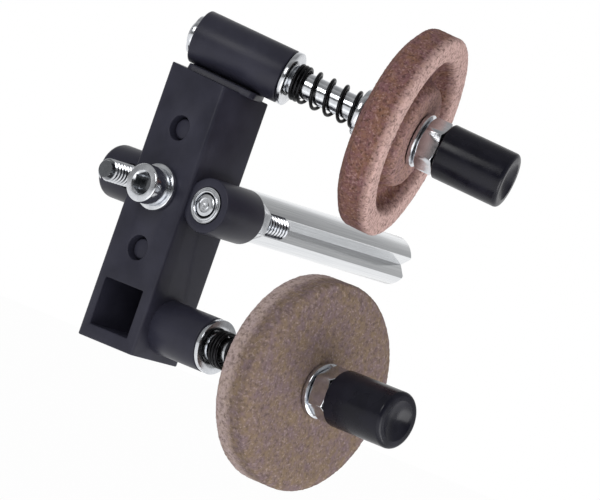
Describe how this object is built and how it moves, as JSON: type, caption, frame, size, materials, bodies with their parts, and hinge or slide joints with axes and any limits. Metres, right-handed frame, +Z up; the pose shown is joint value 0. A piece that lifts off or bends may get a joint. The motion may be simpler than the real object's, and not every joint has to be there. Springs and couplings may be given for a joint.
{
  "type": "slicer knife sharpener",
  "caption": "Slicer blade sharpener: abrasive wheels on spring-loaded push shafts with black end caps, in a moulded block on a grooved rod.",
  "frame": {"origin": "on the mounting rod's axis, where the rod meets the back face of the moulded block", "axes": "+Z up along the block towards the upper wheel, +X along the lower push shaft towards its cap, +Y along the mounting rod away from the block"},
  "size_m": [0.0954, 0.1003, 0.1025],
  "materials": {
    "black_plastic": "moulded black nylon with a fine satin grain",
    "gloss_black_plastic": "smooth black plastic with a soft shine",
    "chromed_steel": "polished plated rod",
    "plated_steel": "bright zinc plating",
    "black_spring_steel": "blackened spring wire",
    "red_brown_abrasive": "coarse bonded abrasive, reddish brown with dark and pale grains",
    "grey_brown_abrasive": "finer bonded abrasive, taupe brown with dark and pale grains"
  },
  "bodies": {
    "frame": {"body_block": "black_plastic", "mounting_rod": "chromed_steel", "clamp_screw": "plated_steel", "clamp_washer": "plated_steel", "lug_screw": "plated_steel", "lug_nut": "plated_steel", "side_stud": "plated_steel", "upper_bush": "plated_steel", "lower_bush": "plated_steel", "upper_spring": "black_spring_steel", "lower_spring": "black_spring_steel"},
    "upper_push_shaft": {"upper_shaft": "plated_steel", "upper_retaining_ring": "plated_steel", "upper_spring_seat": "plated_steel", "upper_nut_washer": "plated_steel", "upper_nut": "plated_steel", "upper_cap": "gloss_black_plastic"},
    "upper_wheel_body": {"upper_wheel": "red_brown_abrasive", "upper_wheel_bush": "plated_steel"},
    "lower_push_shaft": {"lower_shaft": "plated_steel", "lower_retaining_ring": "plated_steel", "lower_spring_seat": "plated_steel", "lower_nut_washer": "plated_steel", "lower_nut": "plated_steel", "lower_cap": "gloss_black_plastic"},
    "lower_wheel_body": {"lower_wheel": "grey_brown_abrasive", "lower_wheel_bush": "plated_steel"}
  },
  "joints": [
    {"name": "upper_push", "type": "slide", "parent": "frame", "child": "upper_push_shaft", "axis": [-0.912, -0.3978, 0.1002], "range_m": [0, 0.0065], "stiffness_N_per_m": 2200, "springref_m": -0.0015, "deforming": ["upper_spring"]},
    {"name": "upper_wheel_spin", "type": "hinge", "parent": "upper_push_shaft", "child": "upper_wheel_body", "pos_m": [0, -0.00828, 0.03292], "axis": [0.912, 0.3978, -0.1002], "continuous": true},
    {"name": "lower_push", "type": "slide", "parent": "frame", "child": "lower_push_shaft", "axis": [-1, 0, 0], "range_m": [0, 0.0065], "stiffness_N_per_m": 2200, "springref_m": -0.0015, "deforming": ["lower_spring"]},
    {"name": "lower_wheel_spin", "type": "hinge", "parent": "lower_push_shaft", "child": "lower_wheel_body", "pos_m": [0, -0.0075, -0.0278], "axis": [1, 0, 0], "continuous": true}
  ]
}
